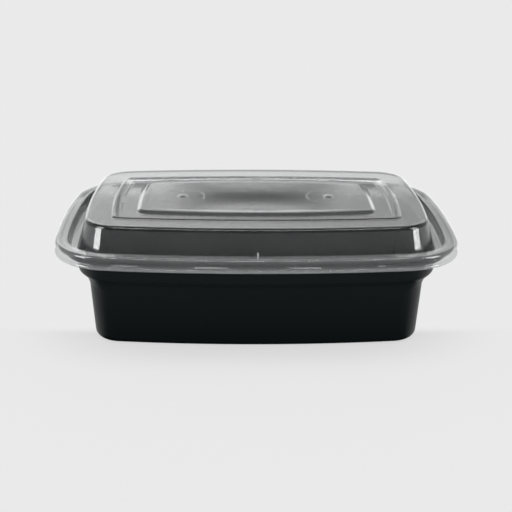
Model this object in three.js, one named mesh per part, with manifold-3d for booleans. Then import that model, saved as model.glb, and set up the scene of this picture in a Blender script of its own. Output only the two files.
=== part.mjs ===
// A takeaway meal container in millimetres, +Z up, with its long side facing -Y and its base on z = 0.
// It is two thin mouldings: a black tray, and a clear domed lid that presses over the tray's rim.
// Every wall follows one bowed rectangle, so a wall is a profile of (inset from the lid's lip, height).

import * as THREE from "three";
import { mergeVertices } from "three/addons/utils/BufferGeometryUtils.js";
import Module from "manifold-3d";

const wasm = await Module();
wasm.setup();

// Plans: half sizes at the middle of each side, how far a side bows out, the corner's radius,
// and where the plan's middle lies along Y.
const LIP_PLAN = { halfX: 111, halfY: 78, bowX: 8.8, bowY: 6.7, corner: 35, middleY: 0 };
const RECESS_PLAN = { halfX: 80.2, halfY: 44.3, bowX: 4.5, bowY: 3, corner: 4.5, middleY: -1.8 };
const LEDGE_PLAN = { halfX: 75.8, halfY: 42.4, bowX: 4.5, bowY: 3.6, corner: 2.5, middleY: -1.8 };
const PANEL_PLAN = { halfX: 66.8, halfY: 34.7, bowX: 5.6, bowY: 1.1, corner: 6, middleY: 0 };

// Tray heights and insets.
const TRAY_THICKNESS = 0.8;
const BASE_INSET = 20;
const BASE_FILLET = 4.2;
const WALL_TOP = { inset: 17.8, z: 32, fillet: 4 };
const SHOULDER_FOOT = { inset: 16.5, z: 35.6 };
const SHOULDER_TOP = { inset: 12.3, z: 39.8, fillet: 3 };
const COLLAR_INSET = 11.3;
const LEDGE_Z = 49.4;
const LEDGE_FILLET = 0.9;
const RIM_WALL_INSET = 5.7;
const RIM_Z = 55.3;
const RIM_FILLET = 0.3;
const RIM_EDGE_INSET = 2.75;
const RIM_EDGE_Z = 53.6;

// Lid heights and insets.
const LID_THICKNESS = 0.5;
const LID_TOP_Z = 68.3;
const LIP_Z = 50;
const LIP_HEIGHT = 1.3;
const LIP_FILLET = 0.7;
const SKIRT_INSET = 1.1;
const SKIRT_FOOT_Z = 52;
const BEAD_INSET = 0.25;
const BEAD_Z = 54.6;
const BEAD_FILLET = 1.6;
const RING_Z = 57;
const RING_INNER_INSET = 7.2;
const RING_INNER_FILLET = 0.8;
const GROOVE_Z = 51.3;
const GROOVE_OUTER_INSET = 8;
const GROOVE_INNER_INSET = 12.4;
const GROOVE_FILLET = 0.9;
const SHOULDER_INSET = 17;
const SHOULDER_FILLET = 2.4;
const RIB_RISE = 0.35;
const RIB_FOOT_INSET = 0.3;
const RIB_CREST_INSET = 0.9;
const RIB_END_INSET = 1.4;
const RECESS_LEDGE_DROP = 0.6;
const RECESS_DROP = 1.3;
const LEDGE_STEP = 0.7;
const PANEL_LEAD = 0.8;
const PANEL_RISE = 1.6;
const PANEL_CHAMFER = 2.5;
const PANEL_SAG = 0.3;

// Snaps: short dents in the lid's skirt, each with a 45 degree foot, that catch under the tray's rim.
const SNAP_FOOT_Z = 52.25;
const SNAP_FULL_Z = 52.95;
const SNAP_HEAD_Z = 53.5;
const SNAP_DEPTH = 0.7;
const SNAP_RAMP = 1.5;
const SNAP_LENGTH = 20.4;
const LONG_SNAPS = [23.8, 70];
const SHORT_SNAPS = [23.8];

// Marks on the lid: two circles on the raised panel, each round a small nub, and a tick on the front wall.
const CIRCLE_X = 42;
const CIRCLE_RADIUS = 12.7;
const CIRCLE_TUBE = 0.35;
const CIRCLE_RISE = 0.1;
const CIRCLE_SIDES = 4;
const CIRCLE_STEPS = 24;
const NUB_RADIUS = 2.8;
const NUB_TAPER = 0.3;
const NUB_RISE = 0.45;
const NUB_SINK = 0.2;
const NUB_STEPS = 12;
const TICK = { width: 0.6, depth: 1.2, low: 52, high: 56.4, inset: 13.4 };

const CORNER_STEPS = 5;
const FILLET_STEP = THREE.MathUtils.degToRad(45);
const SMALL_FILLET = 1;
const SLACK = 0.01;
const SAME_POINT = 0.0001;

// Circles that make up a bowed rectangle: long sides, short sides, and the corner tangent to both.
function circlesOf({ halfX, halfY, bowX, bowY, corner }) {
  const longRadius = (halfX ** 2 + bowX ** 2) / (2 * bowX);
  const shortRadius = (halfY ** 2 + bowY ** 2) / (2 * bowY);
  const longCentre = new THREE.Vector2(0, halfY - longRadius);
  const shortCentre = new THREE.Vector2(halfX - shortRadius, 0);
  const toLong = longRadius - corner;
  const toShort = shortRadius - corner;
  const between = shortCentre.clone().sub(longCentre);
  const span = between.length();
  const along = (toLong ** 2 - toShort ** 2 + span ** 2) / (2 * span);
  const across = Math.sqrt(toLong ** 2 - along ** 2);
  const direction = between.normalize();
  const cornerCentre = longCentre
    .clone()
    .addScaledVector(direction, along)
    .add(new THREE.Vector2(direction.y, -direction.x).multiplyScalar(across));
  return { longRadius, shortRadius, longCentre, shortCentre, cornerCentre, corner };
}

// Where the samples lie along half a side, as shares of the way from its middle to the corner:
// both ends of each snap and of its ramps, and the midpoints of long gaps.
function stopsAlong(snaps, reach) {
  const edges = snaps.flatMap((centre) => {
    const half = SNAP_LENGTH / 2;
    return [centre - half - SNAP_RAMP, centre - half, centre + half, centre + half + SNAP_RAMP];
  });
  const inside = edges.filter((edge) => edge < reach - SNAP_RAMP / 2);
  return [0, ...inside, reach].map((edge) => edge / reach);
}

// Samples round a plan, counter-clockwise from +X: each has a point, its outward normal,
// and whether a snap is there.
function samplesRound(plan) {
  const c = circlesOf(plan);
  const shortEnd = Math.asin((c.cornerCentre.y - c.shortCentre.y) / (c.shortRadius - c.corner));
  const longEnd = Math.asin((c.cornerCentre.x - c.longCentre.x) / (c.longRadius - c.corner));
  const lip = circlesOf(LIP_PLAN);
  const reachX = (lip.cornerCentre.x * lip.longRadius) / (lip.longRadius - lip.corner);
  const reachY = (lip.cornerCentre.y * lip.shortRadius) / (lip.shortRadius - lip.corner);
  const snapAt = (place, snaps) => snaps.some((centre) => Math.abs(place - centre) < SNAP_LENGTH / 2 + SLACK);
  const quadrant = [];
  const add = (centre, radius, angle, snap) => {
    const normal = new THREE.Vector2(Math.cos(angle), Math.sin(angle));
    quadrant.push({ point: centre.clone().addScaledVector(normal, radius), normal, snap });
  };
  for (const share of stopsAlong(SHORT_SNAPS, reachY))
    add(c.shortCentre, c.shortRadius, shortEnd * share, snapAt(share * reachY, SHORT_SNAPS));
  for (let i = 1; i < CORNER_STEPS; i++) {
    const angle = THREE.MathUtils.lerp(shortEnd, Math.PI / 2 - longEnd, i / CORNER_STEPS);
    add(c.cornerCentre, c.corner, angle, false);
  }
  for (const share of stopsAlong(LONG_SNAPS, reachX).reverse())
    add(c.longCentre, c.longRadius, Math.PI / 2 - longEnd * share, snapAt(share * reachX, LONG_SNAPS));
  return mirrorRound(quadrant, plan.middleY);
}

// A quadrant's samples carried round all four quadrants, without repeating those on the axes.
function mirrorRound(quadrant, middleY) {
  const flip = (sx, sy) => (s) => ({
    point: new THREE.Vector2(s.point.x * sx, s.point.y * sy + middleY),
    normal: new THREE.Vector2(s.normal.x * sx, s.normal.y * sy),
    snap: s.snap,
  });
  const back = [...quadrant].reverse();
  return [
    ...quadrant.map(flip(1, 1)),
    ...back.map(flip(-1, 1)).slice(1),
    ...quadrant.map(flip(-1, -1)).slice(1),
    ...back.map(flip(1, -1)).slice(1, -1),
  ];
}

// A profile from its corners, each [inset, z, fillet]: an arc for a fillet, one flat for a small one.
function roundedProfile(corners) {
  const points = corners.map(([inset, z]) => new THREE.Vector2(inset, z));
  return points.flatMap((at, i) => {
    const fillet = corners[i][2] ?? 0;
    if (!fillet) return [at];
    const before = points[i - 1].clone().sub(at).normalize();
    const after = points[i + 1].clone().sub(at).normalize();
    const half = Math.acos(THREE.MathUtils.clamp(before.dot(after), -1, 1)) / 2;
    const middle = before.clone().add(after).normalize();
    const centre = at.clone().addScaledVector(middle, fillet / Math.sin(half));
    const turn = Math.PI - 2 * half;
    const steps = fillet < SMALL_FILLET ? 1 : Math.ceil(turn / FILLET_STEP);
    const start = at.clone().addScaledVector(before, fillet / Math.tan(half)).sub(centre);
    const way = Math.sign(before.cross(after)) || 1;
    return Array.from({ length: steps + 1 }, (_, k) =>
      start.clone().rotateAround(new THREE.Vector2(), (-way * turn * k) / steps).add(centre),
    );
  });
}

// The same profile moved sideways by a distance, to the left of its direction if the distance is positive.
function offsetProfile(profile, distance) {
  const side = (a, b) => {
    const d = b.clone().sub(a).normalize();
    return new THREE.Vector2(-d.y, d.x);
  };
  return profile.map((at, i) => {
    const before = i > 0 ? side(profile[i - 1], at) : side(at, profile[i + 1]);
    const after = i < profile.length - 1 ? side(at, profile[i + 1]) : before;
    const middle = before.clone().add(after).normalize();
    return at.clone().addScaledVector(middle, distance / middle.dot(after));
  });
}

// How much of a snap's depth a height on the skirt gets.
function snapShare(z) {
  const rise = (z - SNAP_FOOT_Z) / (SNAP_FULL_Z - SNAP_FOOT_Z);
  const fall = (SNAP_HEAD_Z - z) / (SNAP_HEAD_Z - SNAP_FULL_Z);
  return THREE.MathUtils.clamp(Math.min(rise, fall), 0, 1);
}

// One ring of points round the object for each point of a profile, with the snaps in a lid's skirt.
function ringsOf(samples, profile, snapped = false) {
  return profile.map(({ x: inset, y: z }) => {
    const onSkirt = snapped && inset < RING_INNER_INSET / 2;
    const depth = onSkirt ? SNAP_DEPTH * snapShare(z) : 0;
    return samples.map(({ point, normal, snap }) => {
      const moved = point.clone().addScaledVector(normal, -inset - (snap ? depth : 0));
      return new THREE.Vector3(moved.x, moved.y, z);
    });
  });
}

// A closed skin over rings, from a point on the axis at height first to one at height last.
function skinOver(rings, first, last) {
  const count = rings[0].length;
  const points = [new THREE.Vector3(0, 0, first), ...rings.flat(), new THREE.Vector3(0, 0, last)];
  const end = points.length - 1;
  const index = [];
  const at = (ring, i) => 1 + ring * count + (i % count);
  for (let i = 0; i < count; i++) {
    index.push(0, at(0, i + 1), at(0, i));
    index.push(end, at(rings.length - 1, i), at(rings.length - 1, i + 1));
    for (let ring = 0; ring + 1 < rings.length; ring++) {
      index.push(at(ring, i), at(ring, i + 1), at(ring + 1, i));
      index.push(at(ring, i + 1), at(ring + 1, i + 1), at(ring + 1, i));
    }
  }
  return new THREE.BufferGeometry().setFromPoints(points).setIndex(index);
}

// A closed geometry as a solid, and a solid back as a geometry.
function solidOf(geometry) {
  const bare = geometry.clone().deleteAttribute("normal").deleteAttribute("uv");
  const merged = mergeVertices(bare, SAME_POINT);
  const vertProperties = merged.attributes.position.array;
  const triVerts = new Uint32Array(merged.index.array);
  return new wasm.Manifold(new wasm.Mesh({ numProp: 3, vertProperties, triVerts }));
}

function geometryOf(solid) {
  const { numProp, vertProperties, triVerts } = solid.getMesh();
  const position = new Float32Array((vertProperties.length / numProp) * 3);
  for (let i = 0; i < position.length / 3; i++)
    position.set(vertProperties.subarray(i * numProp, i * numProp + 3), i * 3);
  return new THREE.BufferGeometry()
    .setAttribute("position", new THREE.BufferAttribute(position, 3))
    .setIndex(new THREE.BufferAttribute(triVerts, 1));
}

// The tray: base, tapered wall, 45 degree shoulder, collar, ledge for the lid's groove, and turned-down rim.
function trayGeometry() {
  const samples = samplesRound(LIP_PLAN);
  const outside = roundedProfile([
    [BASE_INSET + 3 * BASE_FILLET, 0],
    [BASE_INSET, 0, BASE_FILLET],
    [WALL_TOP.inset, WALL_TOP.z, WALL_TOP.fillet],
    [SHOULDER_FOOT.inset, SHOULDER_FOOT.z],
    [SHOULDER_TOP.inset, SHOULDER_TOP.z, SHOULDER_TOP.fillet],
    [COLLAR_INSET, LEDGE_Z],
    [RIM_WALL_INSET, LEDGE_Z, LEDGE_FILLET],
    [RIM_WALL_INSET, RIM_Z],
    [RIM_EDGE_INSET, RIM_Z, RIM_FILLET],
    [RIM_EDGE_INSET, RIM_EDGE_Z],
  ]);
  const inside = offsetProfile(outside, -TRAY_THICKNESS).reverse();
  return skinOver(ringsOf(samples, [...outside, ...inside]), 0, TRAY_THICKNESS);
}

// The lid's upper face as four profiles, each on its own plan, from the lip up to the raised panel.
function lidFaces() {
  const outer = roundedProfile([
    [0, LIP_Z],
    [0, LIP_Z + LIP_HEIGHT, LIP_FILLET],
    [SKIRT_INSET, SKIRT_FOOT_Z],
    [SKIRT_INSET, SNAP_FOOT_Z],
    [SKIRT_INSET, SNAP_FULL_Z],
    [SKIRT_INSET, SNAP_HEAD_Z],
    [BEAD_INSET, BEAD_Z],
    [BEAD_INSET, RING_Z, BEAD_FILLET],
    [RING_INNER_INSET, RING_Z, RING_INNER_FILLET],
    [GROOVE_OUTER_INSET, GROOVE_Z, GROOVE_FILLET],
    [GROOVE_INNER_INSET, GROOVE_Z, GROOVE_FILLET],
    [SHOULDER_INSET, LID_TOP_Z, SHOULDER_FILLET],
    [SHOULDER_INSET + 2 * SHOULDER_FILLET, LID_TOP_Z],
  ]);
  const rib = roundedProfile([
    [-RIB_FOOT_INSET, LID_TOP_Z],
    [RIB_FOOT_INSET, LID_TOP_Z + RIB_RISE],
    [RIB_CREST_INSET, LID_TOP_Z + RIB_RISE],
    [RIB_END_INSET, LID_TOP_Z - RECESS_LEDGE_DROP],
  ]);
  const floor = LID_TOP_Z - RECESS_DROP;
  const ledge = roundedProfile([
    [0, LID_TOP_Z - RECESS_LEDGE_DROP],
    [LEDGE_STEP, floor],
    [2 * LEDGE_STEP, floor],
  ]);
  const panel = roundedProfile([
    [-PANEL_LEAD, floor],
    [0, floor],
    [PANEL_CHAMFER, floor + PANEL_RISE],
    [2 * PANEL_CHAMFER, floor + PANEL_RISE],
  ]);
  return [
    [LIP_PLAN, outer],
    [RECESS_PLAN, rib],
    [LEDGE_PLAN, ledge],
    [PANEL_PLAN, panel],
  ];
}

// The lid: the upper face, the same face one thickness below it, and the marks fused on.
function lidGeometry() {
  const ringsAt = (below) =>
    lidFaces().flatMap(([plan, profile]) =>
      ringsOf(samplesRound(plan), offsetProfile(profile, -below), true),
    );
  const upper = ringsAt(0);
  const lower = ringsAt(LID_THICKNESS);
  const centre = LID_TOP_Z - RECESS_DROP + PANEL_RISE - PANEL_SAG;
  const skin = skinOver([...lower.reverse(), ...upper], centre - LID_THICKNESS, centre);
  return geometryOf(lidMarks(centre).reduce((lid, mark) => lid.add(solidOf(mark)), solidOf(skin)));
}

// The circles, nubs and tick, each sunk a little into the lid.
function lidMarks(panelZ) {
  const circles = [-CIRCLE_X, CIRCLE_X].flatMap((x) => [
    new THREE.TorusGeometry(CIRCLE_RADIUS, CIRCLE_TUBE, CIRCLE_SIDES, CIRCLE_STEPS)
      .translate(x, 0, panelZ + CIRCLE_RISE),
    new THREE.CylinderGeometry(NUB_RADIUS - NUB_TAPER, NUB_RADIUS, NUB_RISE + NUB_SINK, NUB_STEPS)
      .rotateX(Math.PI / 2)
      .translate(x, 0, panelZ + NUB_RISE / 2),
  ]);
  const height = TICK.high - TICK.low;
  const lean = Math.atan((SHOULDER_INSET - GROOVE_INNER_INSET) / (LID_TOP_Z - GROOVE_Z));
  const tick = new THREE.BoxGeometry(TICK.width, TICK.depth, height)
    .rotateX(-lean)
    .translate(0, TICK.inset - LIP_PLAN.halfY, TICK.low + height / 2);
  return [...circles, tick];
}

function meshOf(name, geometry, material) {
  const mesh = new THREE.Mesh(geometry, material);
  mesh.name = name;
  return mesh;
}

const blackPlastic = new THREE.MeshStandardMaterial({ color: 0x15191a, roughness: 0.42, metalness: 0 });
const clearPlastic = new THREE.MeshStandardMaterial({
  color: 0xd9dcdb,
  roughness: 0.18,
  metalness: 0,
  transparent: true,
  opacity: 0.4,
});

const container = new THREE.Group();
container.add(meshOf("tray", trayGeometry(), blackPlastic));
container.add(meshOf("lid", lidGeometry(), clearPlastic));

export default container;
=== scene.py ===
# A closed takeaway container: a black tray under a clear domed lid, on a pale studio sweep.
# Both mouldings follow one bowed rectangle. A wall is a profile of (inset from the lid's lip, height),
# carried round that plan, so each corner's radius shrinks as the wall steps inwards.

import math

import bpy
import numpy as np
from mathutils import Matrix, Vector


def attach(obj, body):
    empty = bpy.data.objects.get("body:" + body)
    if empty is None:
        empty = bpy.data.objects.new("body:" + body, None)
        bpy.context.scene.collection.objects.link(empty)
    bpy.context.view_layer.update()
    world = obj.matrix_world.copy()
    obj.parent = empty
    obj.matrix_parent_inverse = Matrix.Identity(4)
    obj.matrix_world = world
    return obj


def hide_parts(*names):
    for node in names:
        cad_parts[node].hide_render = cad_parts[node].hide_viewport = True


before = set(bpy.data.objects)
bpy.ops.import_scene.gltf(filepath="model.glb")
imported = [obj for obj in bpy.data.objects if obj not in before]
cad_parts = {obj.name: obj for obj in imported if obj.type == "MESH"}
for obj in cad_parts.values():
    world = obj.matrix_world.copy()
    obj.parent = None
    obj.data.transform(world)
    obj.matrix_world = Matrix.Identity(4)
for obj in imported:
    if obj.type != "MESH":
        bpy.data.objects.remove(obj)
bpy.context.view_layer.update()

MM = 0.001

# Plans, in millimetres: half sizes at the middle of each side, how far a side bows, the corner radius,
# and where the plan's middle lies along Y.
LIP_PLAN = {"half_x": 111, "half_y": 78, "bow_x": 8.8, "bow_y": 6.7, "corner": 35, "middle_y": 0}
RECESS_PLAN = {"half_x": 80.2, "half_y": 44.3, "bow_x": 4.5, "bow_y": 3, "corner": 4.5, "middle_y": -1.8}
LEDGE_PLAN = {"half_x": 75.8, "half_y": 42.4, "bow_x": 4.5, "bow_y": 3.6, "corner": 2.5, "middle_y": -1.8}
PANEL_PLAN = {"half_x": 66.8, "half_y": 34.7, "bow_x": 5.6, "bow_y": 1.1, "corner": 6, "middle_y": 0}

# Tray, in millimetres. The outer face is drawn, and the inner one lies a wall's thickness inside it.
# The wall's top and the shoulder's ends are (inset, height, fillet).
TRAY_WALL = 0.8
BASE_INSET = 20
BASE_FILLET = 4.2
WALL_TOP = (17.8, 32, 4)
SHOULDER_FOOT = (16.5, 35.6, 0.5)
SHOULDER_TOP = (12.3, 39.8, 3)
COLLAR_INSET = 11.3
COLLAR_FILLET = 0.5
LEDGE_Z = 49.4
LEDGE_FILLET = 0.9
RIM_WALL_INSET = 5.7
RIM_Z = 55.3
RIM_FILLET = 0.3
RIM_EDGE_INSET = 2.75
RIM_EDGE_Z = 53.6

# Lid, in millimetres.
LID_WALL = 0.5
LID_TOP_Z = 68.3
LIP_Z = 50
LIP_HEIGHT = 1.3
LIP_FILLET = 0.7
SKIRT_INSET = 1.1
SKIRT_FOOT_Z = 52
SKIRT_FILLET = 0.12
BEAD_INSET = 0.25
BEAD_Z = 54.6
BEAD_FILLET = 0.6
RING_Z = 57
RING_OUTER_FILLET = 1.6
RING_INNER_INSET = 7.2
RING_INNER_FILLET = 0.8
GROOVE_Z = 51.3
GROOVE_OUTER_INSET = 8
GROOVE_OUTER_FILLET = 0.8
GROOVE_INNER_INSET = 12.4
GROOVE_INNER_FILLET = 0.9
DOME_INSET = 17
DOME_FILLET = 2.4

# The recessed top, in millimetres. The rib, the step below the ledge and the panel's edge each lie on a
# plan of their own, and their fillets go from the outer one inwards.
RECESS_LEDGE_DROP = 0.6
RECESS_DROP = 1.3
RIB_RISE = 0.35
RIB_LEAD = 1.2
RIB_FOOT_INSET = 0.3
RIB_CREST_INSET = 0.9
RIB_END_INSET = 1.38
RIB_FILLETS = (0.1, 0.25, 0.15)
STEP_WIDTH = 0.7
STEP_FILLETS = (0.15, 0.25)
PANEL_LEAD = 0.8
PANEL_RISE = 1.6
PANEL_CHAMFER = 2.5
PANEL_FILLETS = (0.4, 0.5)
PANEL_SAG = 0.35

# Snaps: short dents in the skirt, each with a 45 degree foot, and a little plain skirt above them.
# Their middles are given along the long and the short sides, from the middle of the side.
SNAP_FOOT_Z = 52.25
SNAP_FULL_Z = 52.95
SNAP_HEAD_Z = 53.5
SNAP_EDGE = 0.02
SNAP_GAP = 0.1
SNAP_GAP_FILLET = 0.05
SNAP_DEPTH = 0.7
SNAP_LENGTH = 20.4
SNAP_RAMP = 1.5
LONG_SNAPS = (23.8, 70)
SHORT_SNAPS = (23.8,)

# Marks moulded in the lid. The extra milk on the circles and the tick is painted highlight.
CIRCLE_X = 42
CIRCLE_RADIUS = 12.7
CIRCLE_WIDTH = 0.4
CIRCLE_RISE = 0.2
CIRCLE_PAINTED_HIGHLIGHT = 0.22
NUB_RADIUS = 2.8
NUB_RISE = 0.44
NUB_RAMP = 0.5
TICK_WIDTH = 0.8
TICK_Z = (52.2, 56.4)
TICK_Y = (-61, -67)
TICK_SIDE_EDGE = 0.08
TICK_END_EDGE = 0.1
TICK_PAINTED_HIGHLIGHT = 0.7

# Clear plastic: its tint, its milk's colour, its gloss, and the share that each of its two faces reflects,
# with the power by which that grows towards grazing angles.
CLEAR_TINT = (0.985, 0.99, 0.99)
MILK = (0.84, 0.87, 0.87, 1)
GLOSS_ROUGHNESS = 0.045
MIRROR = 0.039
EDGE_POWER = 5

# How much each face scatters at heights in millimetres. The lip is the haziest, and the stretched top
# the clearest. It is a little uneven, in patches that are counted to a metre.
SKIRT_HAZE = ((50.8, 0.22), (52.2, 0.09), (54.2, 0.06), (56, 0.1), (56.6, 0.08))
GROOVE_HAZE = ((51.3, 0.03), (56, 0.05), (56.6, 0.08))
DOME_HAZE = ((51.3, 0.03), (54, 0.045), (66.2, 0.045), (67.5, 0.02))
RING_MIDDLE_INSET = 4.5
FLOW_SCALE = 35
FLOW_LEAST = 0.85
FLOW_RANGE = 0.3

# Painted shade on each face of the skirt and of the ring's outer half, in place of the light from behind
# that it bends away.
SKIRT_PAINTED_SHADE = 0.14

# The haze and the painted shade of the lid's top.
TOP_HAZE_AND_SHADE = (DOME_HAZE[-1][1], 0)

# Painted shade on the recess's steps, in place of the light that they bend out of sight: how much on the
# front and the back one, how steep they are, and from what height and distance from the middle they lie.
FRONT_PAINTED_SHADE = 0.8
BACK_PAINTED_SHADE = 0.45
STEP_LEAN = (0.1, 0.3)
STEP_Y = (36, 38)
STEP_Z = (66.2, 66.8)

# Black plastic: its colour at the base, darkened by painted shade, and at the ledge, lightened by painted
# reflection, its gloss, and its fine grain, which is counted to a metre and whose depth is in millimetres.
BLACK_SHADED_LOW = (0.0033, 0.0062, 0.0067)
BLACK_LIT_HIGH = (0.0118, 0.0158, 0.0165)
BLACK_ROUGHNESS = 0.36
BLACK_SPECULAR = 0.15
BLACK_IOR = 1.49
GRAIN_SCALE = 2200
GRAIN_DETAIL = 2
GRAIN_STRENGTH = 0.05
GRAIN_DEPTH = 0.2

# The photo's camera, found by fitting the container's outline, in millimetres, radians and pixels.
CAMERA_DISTANCE = 589.5
CAMERA_PITCH = 0.3462
CAMERA_YAW = 0.02404
CAMERA_ROLL = 0.0092
CAMERA_AIM_X = 0.507
CAMERA_AIM_Z = 31.574
FOCAL_PIXELS = 1001.8
PICTURE_PIXELS = 512
SENSOR_WIDTH = 36
NEAREST = 10

# Studio: how bright the paper and the sky behind it are, the paper's colour, its size in metres,
# and how far it lies below the base in millimetres.
PAPER = 0.8228
PAPER_COLOUR = (0.98, 0.98, 0.98, 1)
FLOOR_SIZE = 60
FLOOR_DROP = 0.05

# The paper's own light, as a share, right beside the base and further off, and how far off that is.
# Distances are counted in half sizes of the base, from its middle, in a rounded square.
GLOW_NEAR = 0.72
GLOW_FAR = 0.9
GLOW_NEAR_AT = 1.05
GLOW_FAR_AT = 1.6
GLOW_SQUARENESS = 4
BASE_HALF = (91, 58)

# From where to where along Y, in millimetres, the shadow fades out beside the container.
SHADOW_Y = (-60, -30)

# The back card, in metres: its place and size, the most that its light can be, and its light by height.
BACK_Y = 1.3
BACK_MIDDLE = 0.5
BACK_WIDE = 3
BACK_HIGH = 1.2
BACK_MOST = 2.4
BACK_BANDS = (
    (-0.1, 1.5),
    (0.22, 1.5),
    (0.36, 0.95),
    (0.411, 0.68),
    (0.421, 0.68),
    (0.4235, 0.2),
    (0.431, 0.2),
    (0.434, 1.8),
    (0.441, 1.8),
    (0.447, 1.15),
    (0.5, 1.15),
    (0.54, 1.8),
    (0.6, 2.3),
    (1.1, 0.9),
)

# How much that light changes for each metre to the right, and how far out it still does.
BACK_SLOPE = -0.55
BACK_EVEN = 0.5

# The back card's dark bar, in metres: its middle, its half size, the share of light in it, and from where
# to where its edge fades, as squares of a distance that is counted in half sizes.
BAR_MIDDLE = (0.03, 0.451)
BAR_HALF = (0.14, 0.0105)
BAR_LEVEL = 0.1
BAR_EDGE = (0.1, 1.6)

# The other flat cards, in metres: the top one's place, size and level, and the side ones' size, elevation
# in degrees, and name, azimuth and level.
CARD_AIM = (0, 0, 0.06)
TOP_PLACE = (0, 0.3, 1.4)
TOP_SIZE = (2.4, 1.6)
TOP_LEVEL = 0.4
SIDE_SIZE = (0.42, 1.2)
SIDE_ELEVATION = 20
SIDE_CARDS = (("left", -66, 12), ("right", 68, 11))

# Strips of light bent round the container, in degrees: from and to an azimuth, between two elevations,
# and how bright. Azimuths run from the front towards +X.
STUDIO_RADIUS = 1.2
STRIPS = {
    "high_front": (-60, 60, 62, 69, 14),
    "low_back": (125, 235, -12, 7, 1.8),
    "floor_back": (100, 260, -40, -12, 0.9),
    "left_fill": (-150, -78, -35, 40, 0.9),
    "right_fill": (80, 150, -35, 40, 0.9),
}

# How fine the meshes are: points along a side and round a corner, rings in from the panel's edge,
# the most that a profile goes in one step, in millimetres, and the most that a fillet turns in one.
SIDE_STEPS = 34
CORNER_STEPS = 16
PANEL_STEPS = 110
TRAY_STEP = 4
LID_STEP = 1
FILLET_STEP = math.radians(15)
STRIP_STEPS = 16
CLEAR_BOUNCES = 24


# Plans and profiles.
def circles_of(plan):
    """Centres and radii of a plan's long side, short side and corner, in its first quadrant."""
    half_x, half_y, corner = plan["half_x"], plan["half_y"], plan["corner"]
    long_radius = (half_x**2 + plan["bow_x"] ** 2) / (2 * plan["bow_x"])
    short_radius = (half_y**2 + plan["bow_y"] ** 2) / (2 * plan["bow_y"])
    long_centre = np.array([0, half_y - long_radius])
    short_centre = np.array([half_x - short_radius, 0])
    to_long, to_short = long_radius - corner, short_radius - corner
    apart = short_centre - long_centre
    span = np.linalg.norm(apart)
    along = (to_long**2 - to_short**2 + span**2) / (2 * span)
    across = math.sqrt(to_long**2 - along**2)
    direction = apart / span
    corner_centre = long_centre + along * direction + across * np.array([direction[1], -direction[0]])
    return long_centre, long_radius, short_centre, short_radius, corner_centre, corner


def snap_share(place, middles):
    """1 inside a snap, falling to 0 over its ramps."""
    away = min(abs(place - middle) for middle in middles) - SNAP_LENGTH / 2
    share = min(max(1 - away / SNAP_RAMP, 0), 1)
    return share * share * (3 - 2 * share)


def samples_round(plan):
    """Points round a plan, counter-clockwise from +X, each with its outward normal and its snap share."""
    long_centre, long_radius, short_centre, short_radius, centre, corner = circles_of(plan)
    short_end = math.asin((centre[1] - short_centre[1]) / (short_radius - corner))
    long_end = math.asin((centre[0] - long_centre[0]) / (long_radius - corner))
    rows = []
    for i in range(SIDE_STEPS // 2 + 1):
        angle = short_end * i / (SIDE_STEPS // 2)
        rows.append((short_centre, short_radius, angle, snap_share(short_radius * angle, SHORT_SNAPS)))
    for i in range(1, CORNER_STEPS):
        angle = short_end + (math.pi / 2 - long_end - short_end) * i / CORNER_STEPS
        rows.append((centre, corner, angle, 0))
    for i in range(SIDE_STEPS + 1):
        turn = long_end * (1 - i / SIDE_STEPS)
        snap = snap_share(long_radius * turn, LONG_SNAPS)
        rows.append((long_centre, long_radius, math.pi / 2 - turn, snap))
    normals = np.array([[math.cos(angle), math.sin(angle)] for _, _, angle, _ in rows])
    points = np.array([centre for centre, *_ in rows]) + normals * np.array([[row[1]] for row in rows])
    points, normals, snaps = mirror_round(points, normals, np.array([row[3] for row in rows]))
    return points + [0, plan["middle_y"]], normals, snaps


def mirror_round(points, normals, snaps):
    """A quadrant carried round the other three, without repeating the points on the axes."""
    quadrants = [
        (1, 1, slice(None)),
        (-1, 1, slice(-2, None, -1)),
        (-1, -1, slice(1, None)),
        (1, -1, slice(-2, 0, -1)),
    ]
    parts = []
    for sign_x, sign_y, take in quadrants:
        sign = np.array([sign_x, sign_y])
        parts.append((points[take] * sign, normals[take] * sign, snaps[take]))
    return tuple(np.concatenate(column) for column in zip(*parts))


def rounded(corners):
    """A profile from corners (inset, z, fillet), with an arc for each fillet."""
    places = [np.array(corner[:2], float) for corner in corners]
    profile = []
    for i, (place, corner) in enumerate(zip(places, corners)):
        if len(corner) > 2:
            profile += arc_at(place, places[i - 1], places[i + 1], corner[2])
        else:
            profile.append(place)
    return np.array(profile)


def arc_at(place, last, following, fillet):
    """Points of the arc that rounds a corner between the last place and the following one."""
    before = (last - place) / np.linalg.norm(last - place)
    after = (following - place) / np.linalg.norm(following - place)
    half = math.acos(np.clip(before @ after, -1, 1)) / 2
    middle = (before + after) / np.linalg.norm(before + after)
    centre = place + middle * fillet / math.sin(half)
    x, y = place + before * fillet / math.tan(half) - centre
    side = 1 if before[0] * after[1] - before[1] * after[0] < 0 else -1
    turn = (math.pi - 2 * half) * side
    steps = max(2, math.ceil(abs(turn) / FILLET_STEP))
    points = []
    for k in range(steps + 1):
        c, s = math.cos(turn * k / steps), math.sin(turn * k / steps)
        points.append(centre + np.array([x * c - y * s, x * s + y * c]))
    return points


def finer(profile, longest):
    """The same profile with points added where two are more than longest apart."""
    out = [profile[0]]
    for a, b in zip(profile, profile[1:]):
        steps = max(1, math.ceil(np.linalg.norm(b - a) / longest))
        out += [a + (b - a) * k / steps for k in range(1, steps + 1)]
    return np.array(out)


def offset(profile, distance):
    """The profile moved to the right of its direction by a distance."""
    ways = np.diff(profile, axis=0)
    ways = ways / np.linalg.norm(ways, axis=1)[:, None]
    right = np.column_stack([ways[:, 1], -ways[:, 0]])
    before = np.vstack([right[:1], right])
    after = np.vstack([right, right[-1:]])
    middle = before + after
    middle = middle / np.linalg.norm(middle, axis=1)[:, None]
    return profile + middle * (distance / np.sum(middle * after, axis=1))[:, None]


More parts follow.
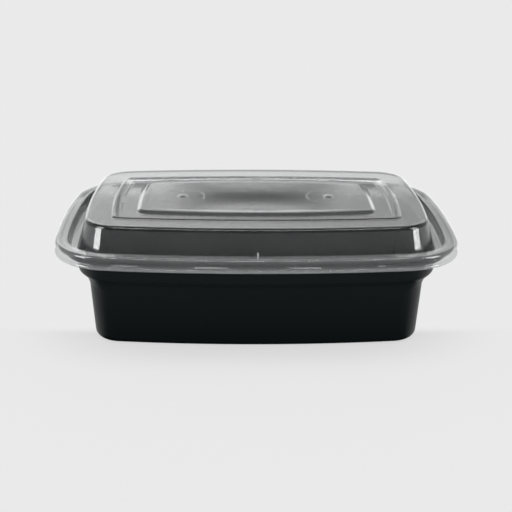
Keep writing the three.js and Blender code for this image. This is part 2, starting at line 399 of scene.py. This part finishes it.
# Meshes.
def snap_depth(z):
    """How deep a snap's dent is at a height on the skirt."""
    rise = (z - SNAP_FOOT_Z) / (SNAP_FULL_Z - SNAP_FOOT_Z)
    fall = (SNAP_HEAD_Z - z) / (SNAP_HEAD_Z - SNAP_FULL_Z)
    return SNAP_DEPTH * max(min(rise, fall, 1), 0)


def rings_of(samples, profile, snapped=False):
    """One ring of 3-D points for each point of a profile, with the snaps in a lid's skirt."""
    points, normals, snaps = samples
    rings = []
    for inset, z in profile:
        on_skirt = snapped and inset < RING_INNER_INSET / 2
        depth = snaps * (snap_depth(z) if on_skirt else 0)
        flat = points - normals * (inset + depth)[:, None]
        rings.append(np.column_stack([flat, np.full(len(flat), z)]))
    return rings


def stitched(rings):
    """Vertices and quads that join rings in turn, closed at both ends by a fan."""
    count = len(rings[0])
    vertices = np.vstack([rings[0].mean(0)[None], *rings, rings[-1].mean(0)[None]])
    here = np.arange(count)
    after = (here + 1) % count
    faces = [(0, 1 + b, 1 + a) for a, b in zip(here, after)]
    for ring in range(len(rings) - 1):
        low, high = 1 + ring * count, 1 + (ring + 1) * count
        faces += [(low + a, low + b, high + b, high + a) for a, b in zip(here, after)]
    last, end = 1 + (len(rings) - 1) * count, len(vertices) - 1
    faces += [(end, last + a, last + b) for a, b in zip(here, after)]
    return vertices, faces


def piece_of(name, vertices, faces, material):
    """A smooth-shaded mesh object, from millimetres."""
    mesh = bpy.data.meshes.new(name)
    mesh.from_pydata((np.asarray(vertices) * MM).tolist(), [], faces)
    mesh.update()
    mesh.polygons.foreach_set("use_smooth", [True] * len(mesh.polygons))
    mesh.materials.append(material)
    piece = bpy.data.objects.new(name, mesh)
    bpy.context.scene.collection.objects.link(piece)
    return piece


# Shapes of the tray and the lid.
def tray_rings():
    """Outer face from the base's middle out to the rim's edge, then the inner face back."""
    outer = rounded(
        [
            (BASE_INSET + 3 * BASE_FILLET, 0),
            (BASE_INSET, 0, BASE_FILLET),
            WALL_TOP,
            SHOULDER_FOOT,
            SHOULDER_TOP,
            (COLLAR_INSET, LEDGE_Z, COLLAR_FILLET),
            (RIM_WALL_INSET, LEDGE_Z, LEDGE_FILLET),
            (RIM_WALL_INSET, RIM_Z, RIM_FILLET),
            (RIM_EDGE_INSET, RIM_Z, RIM_FILLET),
            (RIM_EDGE_INSET, RIM_EDGE_Z),
        ]
    )
    outer = finer(outer, TRAY_STEP)
    inner = offset(outer, TRAY_WALL)[::-1]
    return rings_of(samples_round(LIP_PLAN), [*outer, *inner])


def lid_wall_profile():
    """From the lip up the skirt, over the ring, down through the groove and up the dome."""
    snap_stops = (
        SNAP_FOOT_Z,
        SNAP_FOOT_Z + SNAP_EDGE,
        SNAP_FULL_Z - SNAP_EDGE,
        SNAP_FULL_Z,
        (SNAP_FULL_Z + SNAP_HEAD_Z) / 2,
        SNAP_HEAD_Z,
    )
    corners = [
        (0, LIP_Z),
        (0, LIP_Z + LIP_HEIGHT, LIP_FILLET),
        (SKIRT_INSET, SKIRT_FOOT_Z, SKIRT_FILLET),
        *[(SKIRT_INSET, z) for z in snap_stops],
        (SKIRT_INSET, SNAP_HEAD_Z + SNAP_GAP, SNAP_GAP_FILLET),
        (BEAD_INSET, BEAD_Z, BEAD_FILLET),
        (BEAD_INSET, RING_Z, RING_OUTER_FILLET),
        (RING_INNER_INSET, RING_Z, RING_INNER_FILLET),
        (GROOVE_OUTER_INSET, GROOVE_Z, GROOVE_OUTER_FILLET),
        (GROOVE_INNER_INSET, GROOVE_Z, GROOVE_INNER_FILLET),
        (DOME_INSET, LID_TOP_Z, DOME_FILLET),
        (DOME_INSET + 2 * DOME_FILLET, LID_TOP_Z),
    ]
    return finer(rounded(corners), LID_STEP)


def rib_profile():
    """The rib round the recess, from the dome's top over its crest and down to the ledge."""
    crest = LID_TOP_Z + RIB_RISE
    foot_fillet, outer_fillet, inner_fillet = RIB_FILLETS
    return rounded(
        [
            (-RIB_LEAD, LID_TOP_Z),
            (-RIB_FOOT_INSET, LID_TOP_Z, foot_fillet),
            (RIB_FOOT_INSET, crest, outer_fillet),
            (RIB_CREST_INSET, crest, inner_fillet),
            (RIB_END_INSET, LID_TOP_Z - RECESS_LEDGE_DROP),
        ]
    )


def step_profile():
    """The step from the recess's ledge down to its floor."""
    ledge, floor = LID_TOP_Z - RECESS_LEDGE_DROP, LID_TOP_Z - RECESS_DROP
    head_fillet, foot_fillet = STEP_FILLETS
    return rounded(
        [
            (0, ledge),
            (STEP_WIDTH / 4, ledge, head_fillet),
            (STEP_WIDTH, floor, foot_fillet),
            (2 * STEP_WIDTH, floor),
        ]
    )


def panel_profile():
    """The bevel from the recess's floor up to the raised panel."""
    floor = LID_TOP_Z - RECESS_DROP
    foot_fillet, head_fillet = PANEL_FILLETS
    return rounded(
        [
            (-PANEL_LEAD, floor),
            (0, floor, foot_fillet),
            (PANEL_CHAMFER, floor + PANEL_RISE, head_fillet),
            (2 * PANEL_CHAMFER, floor + PANEL_RISE),
        ]
    )


def panel_sag(x, y):
    """How far the lid's middle has sunk at a place on it."""
    along = np.clip(1 - (x / PANEL_PLAN["half_x"]) ** 2, 0, 1)
    across = np.clip(1 - (y / PANEL_PLAN["half_y"]) ** 2, 0, 1)
    return PANEL_SAG * along * across


def nub_rise(x, y):
    """Height of the two round nubs, at places on the panel."""
    away = np.hypot(np.abs(x) - CIRCLE_X, y)
    nub = np.clip((NUB_RADIUS - away) / NUB_RAMP, 0, 1)
    return NUB_RISE * nub * nub * (3 - 2 * nub)


def panel_middle(edge):
    """Rings from the panel's edge in to its middle, with its sag and its nubs."""
    rings = []
    for k in range(1, PANEL_STEPS):
        share = 1 - k / PANEL_STEPS
        ring = edge * np.array([share, share, 1])
        x, y = ring[:, 0], ring[:, 1]
        ring[:, 2] += nub_rise(x, y) - panel_sag(x, y)
        rings.append(ring)
    return rings


def haze_and_shade_at(inset, z):
    """How much the lid scatters and how much painted shade it gets, at a place of its outer profile."""
    if inset < RING_MIDDLE_INSET:
        return np.interp(z, *zip(*SKIRT_HAZE)), SKIRT_PAINTED_SHADE
    stops = GROOVE_HAZE if inset < GROOVE_INNER_INSET else DOME_HAZE
    return np.interp(z, *zip(*stops)), 0


def lid_rings(distance):
    """Rings of one face of the lid, a distance below its upper face, and the haze and painted shade of each.
    """
    wall = offset(lid_wall_profile(), distance)
    rings = rings_of(samples_round(LIP_PLAN), wall, snapped=True)
    haze_and_shade = [haze_and_shade_at(inset, z) for inset, z in wall]
    tops = ((RECESS_PLAN, rib_profile()), (LEDGE_PLAN, step_profile()), (PANEL_PLAN, panel_profile()))
    for plan, profile in tops:
        rings += rings_of(samples_round(plan), offset(profile, distance))
    rings += panel_middle(rings[-1])
    haze_and_shade += [TOP_HAZE_AND_SHADE] * (len(rings) - len(haze_and_shade))
    return rings, haze_and_shade


# Nodes that the materials share.
def math_node(nodes, links, operation, *values):
    """A Math node. Each value is a number or a socket."""
    node = nodes.new("ShaderNodeMath")
    node.operation = operation
    for socket, value in zip(node.inputs, values):
        if isinstance(value, (int, float)):
            socket.default_value = value
        else:
            links.new(value, socket)
    return node.outputs["Value"]


def axes_of(nodes, links, vector):
    """A vector's X, Y and Z sockets."""
    parts = nodes.new("ShaderNodeSeparateXYZ")
    links.new(vector, parts.inputs["Vector"])
    return parts.outputs["X"], parts.outputs["Y"], parts.outputs["Z"]


def between(nodes, links, value, start, end, smooth=False, least=0):
    """The least up to a start, 1 from an end on, and a ramp from one to the other."""
    node = nodes.new("ShaderNodeMapRange")
    node.interpolation_type = "SMOOTHSTEP" if smooth else "LINEAR"
    node.inputs["From Min"].default_value = start
    node.inputs["From Max"].default_value = end
    node.inputs["To Min"].default_value = least
    links.new(value, node.inputs["Value"])
    return node.outputs["Result"]


def product(nodes, links, *values):
    """Values multiplied together."""
    result = values[0]
    for value in values[1:]:
        result = math_node(nodes, links, "MULTIPLY", result, value)
    return result


def attribute_of(nodes, name):
    """A number that the mesh gives at each of its points."""
    attribute = nodes.new("ShaderNodeAttribute")
    attribute.attribute_name = name
    return attribute.outputs["Fac"]


def mixed(nodes, links, share, first, second):
    """Two shaders mixed, with a share of the second."""
    mix = nodes.new("ShaderNodeMixShader")
    links.new(share, mix.inputs["Fac"])
    links.new(first, mix.inputs[1])
    links.new(second, mix.inputs[2])
    return mix.outputs["Shader"]


def fill_ramp(ramp, stops):
    """Give a colour ramp its stops of (height, colour), from the first height to the last."""
    low, high = stops[0][0], stops[-1][0]
    ramp.elements[0].color = (*stops[0][1], 1)
    ramp.elements[-1].color = (*stops[-1][1], 1)
    for z, colour in stops[1:-1]:
        ramp.elements.new((z - low) / (high - low)).color = (*colour, 1)


def height_ramp(nodes, links, place, stops):
    """A colour that follows height, from stops of (millimetres, colour)."""
    _, _, z = axes_of(nodes, links, place.outputs["Object"])
    share = between(nodes, links, z, stops[0][0] * MM, stops[-1][0] * MM)
    ramp = nodes.new("ShaderNodeValToRGB")
    links.new(share, ramp.inputs["Fac"])
    fill_ramp(ramp.color_ramp, stops)
    return ramp.outputs["Color"]


# Black plastic.
def black_plastic():
    """Satin black plastic with a fine grain, with painted shade that makes it darker towards the base and
    lighter towards the rim.
    """
    material = bpy.data.materials.new("black_plastic")
    material.use_nodes = True
    nodes, links = material.node_tree.nodes, material.node_tree.links
    shader = nodes["Principled BSDF"]
    shader.inputs["Roughness"].default_value = BLACK_ROUGHNESS
    shader.inputs["Specular IOR Level"].default_value = BLACK_SPECULAR
    shader.inputs["IOR"].default_value = BLACK_IOR
    place = nodes.new("ShaderNodeTexCoord")
    # Painted shade: the colour darkens from the ledge down to the base.
    painted_shade_by_height = height_ramp(nodes, links, place, ((0, BLACK_SHADED_LOW), (LEDGE_Z, BLACK_LIT_HIGH)))
    links.new(painted_shade_by_height, shader.inputs["Base Color"])
    grain = nodes.new("ShaderNodeTexNoise")
    grain.inputs["Scale"].default_value = GRAIN_SCALE
    grain.inputs["Detail"].default_value = GRAIN_DETAIL
    links.new(place.outputs["Object"], grain.inputs["Vector"])
    bump = nodes.new("ShaderNodeBump")
    bump.inputs["Strength"].default_value = GRAIN_STRENGTH
    bump.inputs["Distance"].default_value = GRAIN_DEPTH * MM
    links.new(grain.outputs["Fac"], bump.inputs["Height"])
    links.new(bump.outputs["Normal"], shader.inputs["Normal"])
    return material


# Clear plastic.
def step_painted_shade(nodes, links, place):
    """Painted shade on the recess's front and back steps, in place of the light from behind them that they
    bend away.
    """
    _, y, z = axes_of(nodes, links, place.outputs["Object"])
    _, normal_y, normal_z = axes_of(nodes, links, place.outputs["Normal"])
    lean = math_node(nodes, links, "MULTIPLY", normal_y, normal_z)
    steep = between(nodes, links, math_node(nodes, links, "ABSOLUTE", lean), *STEP_LEAN)
    front = between(nodes, links, y, *[-value * MM for value in STEP_Y])
    back = between(nodes, links, y, *[value * MM for value in STEP_Y])
    high = between(nodes, links, z, *[value * MM for value in STEP_Z])
    front = math_node(nodes, links, "MULTIPLY", front, FRONT_PAINTED_SHADE)
    where = math_node(nodes, links, "MULTIPLY_ADD", back, BACK_PAINTED_SHADE, front)
    return product(nodes, links, steep, where, high)


def see_through(nodes, links, place):
    """What the plastic lets through: all but its painted shade, in its tint."""
    shade = math_node(nodes, links, "ADD", step_painted_shade(nodes, links, place), attribute_of(nodes, "shade"))
    left = math_node(nodes, links, "SUBTRACT", 1, shade)
    tint = nodes.new("ShaderNodeVectorMath")
    tint.operation = "SCALE"
    tint.inputs["Vector"].default_value = CLEAR_TINT
    links.new(left, tint.inputs["Scale"])
    through = nodes.new("ShaderNodeBsdfTransparent")
    links.new(tint.outputs["Vector"], through.inputs["Color"])
    return through.outputs["BSDF"]


def tick_painted_highlight(nodes, links, place):
    """Painted highlight of the short upright tick at the middle of the dome's front, drawn as milkiness."""
    x, y, z = axes_of(nodes, links, place.outputs["Object"])
    beside = math_node(nodes, links, "ABSOLUTE", x)
    limits = (
        (beside, TICK_WIDTH / 2, -TICK_SIDE_EDGE),
        (y, TICK_Y[0], -TICK_END_EDGE),
        (y, TICK_Y[1], TICK_END_EDGE),
        (z, TICK_Z[0], TICK_END_EDGE),
        (z, TICK_Z[1], -TICK_END_EDGE),
    )
    shares = [between(nodes, links, way, edge * MM, (edge + soft) * MM) for way, edge, soft in limits]
    return product(nodes, links, *shares, TICK_PAINTED_HIGHLIGHT)


def circle_ridge(nodes, links, place):
    """Two thin moulded circles, finer than the mesh: 1 on their crest and 0 beside them."""
    x, y, _ = axes_of(nodes, links, place.outputs["Object"])
    beside = math_node(nodes, links, "ABSOLUTE", x)
    across = math_node(nodes, links, "SUBTRACT", beside, CIRCLE_X * MM)
    squares = [math_node(nodes, links, "POWER", side, 2) for side in (across, y)]
    away = math_node(nodes, links, "SQRT", math_node(nodes, links, "ADD", *squares))
    past = math_node(nodes, links, "SUBTRACT", away, CIRCLE_RADIUS * MM)
    off = math_node(nodes, links, "ABSOLUTE", past)
    return between(nodes, links, off, CIRCLE_WIDTH * MM, 0, smooth=True)


def ridge_bump(nodes, links, ridge):
    """The normal that makes a ridge stand out."""
    bump = nodes.new("ShaderNodeBump")
    bump.inputs["Strength"].default_value = 1
    bump.inputs["Distance"].default_value = CIRCLE_RISE * MM
    links.new(ridge, bump.inputs["Height"])
    return bump.outputs["Normal"]


def haze_and_painted_highlight(nodes, links, place, ridge):
    """How milky the plastic is: by place on the lid, a little uneven, and more on its moulded marks, where
    the extra milk is painted highlight.
    """
    flow = nodes.new("ShaderNodeTexNoise")
    flow.inputs["Scale"].default_value = FLOW_SCALE
    links.new(place.outputs["Object"], flow.inputs["Vector"])
    uneven = math_node(nodes, links, "MULTIPLY_ADD", flow.outputs["Fac"], FLOW_RANGE, FLOW_LEAST)
    haze = math_node(nodes, links, "MULTIPLY", attribute_of(nodes, "haze"), uneven)
    haze = math_node(nodes, links, "MAXIMUM", haze, tick_painted_highlight(nodes, links, place))
    # Painted highlight: extra milk on the circles' crests.
    return math_node(nodes, links, "MULTIPLY_ADD", ridge, CIRCLE_PAINTED_HIGHLIGHT, haze)


def mirror_share(nodes, links):
    """How much a face reflects, which grows towards grazing angles."""
    facing = nodes.new("ShaderNodeLayerWeight")
    edge = math_node(nodes, links, "POWER", facing.outputs["Facing"], EDGE_POWER)
    return math_node(nodes, links, "MULTIPLY_ADD", edge, 1 - MIRROR, MIRROR)


def clear_plastic():
    """See-through plastic: a faint milky scatter, under a gloss that grows towards grazing angles."""
    material = bpy.data.materials.new("clear_plastic")
    material.use_nodes = True
    nodes, links = material.node_tree.nodes, material.node_tree.links
    nodes.remove(nodes["Principled BSDF"])
    place = nodes.new("ShaderNodeTexCoord")
    ridge = circle_ridge(nodes, links, place)
    milk = nodes.new("ShaderNodeBsdfDiffuse")
    milk.inputs["Color"].default_value = MILK
    # Milkiness, with painted highlight on the moulded marks.
    haze = haze_and_painted_highlight(nodes, links, place, ridge)
    body = mixed(nodes, links, haze, see_through(nodes, links, place), milk.outputs["BSDF"])
    gloss = nodes.new("ShaderNodeBsdfGlossy")
    gloss.inputs["Roughness"].default_value = GLOSS_ROUGHNESS
    links.new(ridge_bump(nodes, links, ridge), gloss.inputs["Normal"])
    surface = mixed(nodes, links, mirror_share(nodes, links), body, gloss.outputs["BSDF"])
    links.new(surface, nodes["Material Output"].inputs["Surface"])
    return material


# The two mouldings.
def make_tray():
    """The black tray."""
    vertices, faces = stitched(tray_rings())
    tray = piece_of("tray_shell", vertices, faces, black_plastic())
    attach(tray, "root")
    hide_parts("tray")


def make_lid():
    """The clear lid, whose points also carry their haze and their painted shade."""
    upper, upper_haze_and_shade = lid_rings(0)
    lower, lower_haze_and_shade = lid_rings(LID_WALL)
    vertices, faces = stitched([*lower[::-1], *upper])
    lid = piece_of("lid_shell", vertices, faces, clear_plastic())
    for name, column in zip(("haze", "shade"), zip(*lower_haze_and_shade[::-1], *upper_haze_and_shade)):
        values = [column[0], *np.repeat(column, len(upper[0])), column[-1]]
        lid.data.attributes.new(name, "FLOAT", "POINT").data.foreach_set("value", values)
    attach(lid, "root")
    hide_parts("lid")


# Paper, sky and camera.
def paper_glow(nodes, links):
    """How much of the paper's light is its own: less right beside the base, where the shadow is."""
    place = nodes.new("ShaderNodeTexCoord")
    x, y, _ = axes_of(nodes, links, place.outputs["Object"])
    shares = [math_node(nodes, links, "DIVIDE", side, half * MM) for side, half in zip((x, y), BASE_HALF)]
    powers = [math_node(nodes, links, "POWER", share, GLOW_SQUARENESS) for share in shares]
    away = math_node(nodes, links, "POWER", math_node(nodes, links, "ADD", *powers), 1 / GLOW_SQUARENESS)
    far = between(nodes, links, away, GLOW_NEAR_AT, GLOW_FAR_AT, smooth=True)
    share = math_node(nodes, links, "MULTIPLY_ADD", far, GLOW_FAR - GLOW_NEAR, GLOW_NEAR)
    beside = between(nodes, links, y, *[value * MM for value in SHADOW_Y], smooth=True)
    return math_node(nodes, links, "MAXIMUM", share, beside)


def make_floor():
    """A level paper floor that runs out of sight. Most of its light is its own, so its shadows are faint."""
    bpy.ops.mesh.primitive_plane_add(size=FLOOR_SIZE, location=(0, 0, -FLOOR_DROP * MM))
    floor = bpy.context.object
    floor.name = "floor"
    material = bpy.data.materials.new("paper")
    material.use_nodes = True
    nodes, links = material.node_tree.nodes, material.node_tree.links
    nodes.remove(nodes["Principled BSDF"])
    paper = nodes.new("ShaderNodeBsdfDiffuse")
    paper.inputs["Color"].default_value = PAPER_COLOUR
    glow = nodes.new("ShaderNodeEmission")
    glow.inputs["Strength"].default_value = PAPER
    surface = mixed(nodes, links, paper_glow(nodes, links), paper.outputs["BSDF"], glow.outputs["Emission"])
    links.new(surface, nodes["Material Output"].inputs["Surface"])
    floor.data.materials.append(material)
    floor.visible_glossy = False


def make_sky():
    """The pale sky behind the paper, which reflections don't see."""
    world = bpy.data.worlds.new("studio")
    world.use_nodes = True
    background = world.node_tree.nodes["Background"]
    background.inputs["Color"].default_value = (PAPER, PAPER, PAPER, 1)
    world.cycles_visibility.glossy = False
    bpy.context.scene.world = world


def make_camera():
    """The photo's camera: it looks at a point above the container's middle, turned, tipped and rolled."""
    cos_yaw, sin_yaw = math.cos(CAMERA_YAW), math.sin(CAMERA_YAW)
    cos_pitch, sin_pitch = math.cos(CAMERA_PITCH), math.sin(CAMERA_PITCH)
    cos_roll, sin_roll = math.cos(CAMERA_ROLL), math.sin(CAMERA_ROLL)
    back = CAMERA_DISTANCE * cos_pitch
    place = Vector(
        (
            CAMERA_AIM_X * cos_yaw - back * sin_yaw,
            -back * cos_yaw - CAMERA_AIM_X * sin_yaw,
            CAMERA_AIM_Z + CAMERA_DISTANCE * sin_pitch,
        )
    )
    forward = Vector((cos_pitch * sin_yaw, cos_pitch * cos_yaw, -sin_pitch))
    level = Vector((cos_yaw, -sin_yaw, 0))
    upright = Vector((sin_pitch * sin_yaw, sin_pitch * cos_yaw, cos_pitch))
    right = level * cos_roll + upright * sin_roll
    up = upright * cos_roll - level * sin_roll
    data = bpy.data.cameras.new("camera")
    data.sensor_width = SENSOR_WIDTH
    data.lens = FOCAL_PIXELS / PICTURE_PIXELS * SENSOR_WIDTH
    data.clip_start = NEAREST * MM
    camera = bpy.data.objects.new("camera", data)
    axes = Matrix((right, up, -forward)).transposed().to_4x4()
    camera.matrix_world = Matrix.Translation(place * MM) @ axes
    bpy.context.scene.collection.objects.link(camera)
    bpy.context.scene.camera = camera


# Cards and strips of light.
def plain_glow(name, strength):
    """A material that only glows."""
    material = bpy.data.materials.new(name)
    material.use_nodes = True
    nodes, links = material.node_tree.nodes, material.node_tree.links
    nodes.remove(nodes["Principled BSDF"])
    glow = nodes.new("ShaderNodeEmission")
    glow.inputs["Strength"].default_value = strength
    links.new(glow.outputs["Emission"], nodes["Material Output"].inputs["Surface"])
    return material


def add_glow(name, points, faces, glow):
    """A glowing studio piece that only reflections see."""
    mesh = bpy.data.meshes.new(name)
    mesh.from_pydata(points, [], faces)
    mesh.materials.append(glow)
    card = bpy.data.objects.new(name, mesh)
    bpy.context.scene.collection.objects.link(card)
    card.visible_camera = False
    card.visible_diffuse = False
    card.visible_transmission = False
    card.visible_shadow = False
    return card


def add_card(name, place, aim, size, glow):
    """A flat glowing card, size wide and high, that faces aim."""
    wide, high = size[0] / 2, size[1] / 2
    corners = [(-wide, -high, 0), (wide, -high, 0), (wide, high, 0), (-wide, high, 0)]
    card = add_glow(name, corners, [(0, 1, 2, 3)], glow)
    card.location = place
    card.rotation_euler = (Vector(aim) - Vector(place)).to_track_quat("Z", "Y").to_euler()


def polar(azimuth, elevation):
    """A place in the studio as seen from the container: azimuth from the front towards +X, in degrees."""
    a, e = math.radians(azimuth), math.radians(elevation)
    direction = Vector((math.sin(a) * math.cos(e), -math.cos(a) * math.cos(e), math.sin(e)))
    return direction * STUDIO_RADIUS


def add_strip(name, strip, glow):
    """A glowing strip bent round the container."""
    start, end, low, high = strip
    turns = [start + (end - start) * i / STRIP_STEPS for i in range(STRIP_STEPS + 1)]
    points = [polar(turn, elevation) for turn in turns for elevation in (low, high)]
    faces = [(2 * i, 2 * i + 2, 2 * i + 3, 2 * i + 1) for i in range(STRIP_STEPS)]
    add_glow(name, points, faces, glow)


def dark_bar(nodes, links, across, up):
    """The share of light that the back card keeps: little in its dark bar, and all beyond the soft edge."""
    middle = (BAR_MIDDLE[0], BAR_MIDDLE[1] - BACK_MIDDLE)
    squares = []
    for way, centre, half in zip((across, up), middle, BAR_HALF):
        from_centre = math_node(nodes, links, "SUBTRACT", way, centre)
        share = math_node(nodes, links, "DIVIDE", from_centre, half)
        squares.append(math_node(nodes, links, "POWER", share, 2))
    away = math_node(nodes, links, "ADD", *squares)
    return between(nodes, links, away, *BAR_EDGE, smooth=True, least=BAR_LEVEL)


def back_glow():
    """The back card's light: bands by height, brighter to the left, and one dark bar low in its middle."""
    material = plain_glow("back_glow", 1)
    nodes, links = material.node_tree.nodes, material.node_tree.links
    place = nodes.new("ShaderNodeTexCoord")
    across, up, _ = axes_of(nodes, links, place.outputs["Object"])
    bands = nodes.new("ShaderNodeValToRGB")
    bands.color_ramp.interpolation = "EASE"
    fill_ramp(bands.color_ramp, [(z, (level / BACK_MOST,) * 3) for z, level in BACK_BANDS])
    share = math_node(nodes, links, "MULTIPLY_ADD", up, 1 / BACK_HIGH, 0.5)
    links.new(share, bands.inputs["Fac"])
    right_of_left_end = math_node(nodes, links, "MAXIMUM", across, -BACK_EVEN)
    within = math_node(nodes, links, "MINIMUM", right_of_left_end, BACK_EVEN)
    sideways = math_node(nodes, links, "MULTIPLY_ADD", within, BACK_SLOPE, 1)
    bar = dark_bar(nodes, links, across, up)
    level = product(nodes, links, bands.outputs["Color"], sideways, bar, BACK_MOST)
    links.new(level, nodes["Emission"].inputs["Strength"])
    return material


def make_lights():
    """The cards and strips that the container reflects."""
    back_size = (BACK_WIDE, BACK_HIGH)
    add_card("back_card", (0, BACK_Y, BACK_MIDDLE), (0, 0, BACK_MIDDLE), back_size, back_glow())
    add_card("top_card", TOP_PLACE, CARD_AIM, TOP_SIZE, plain_glow("top_glow", TOP_LEVEL))
    for side, azimuth, level in SIDE_CARDS:
        glow = plain_glow(f"{side}_glow", level)
        add_card(f"{side}_card", polar(azimuth, SIDE_ELEVATION), CARD_AIM, SIDE_SIZE, glow)
    for name, (*strip, level) in STRIPS.items():
        add_strip(name, strip, plain_glow(f"{name}_glow", level))


make_camera()
make_tray()
make_lid()
make_floor()
make_sky()
make_lights()
bpy.context.scene.view_settings.view_transform = "Standard"
bpy.context.scene.cycles.transparent_max_bounces = CLEAR_BOUNCES
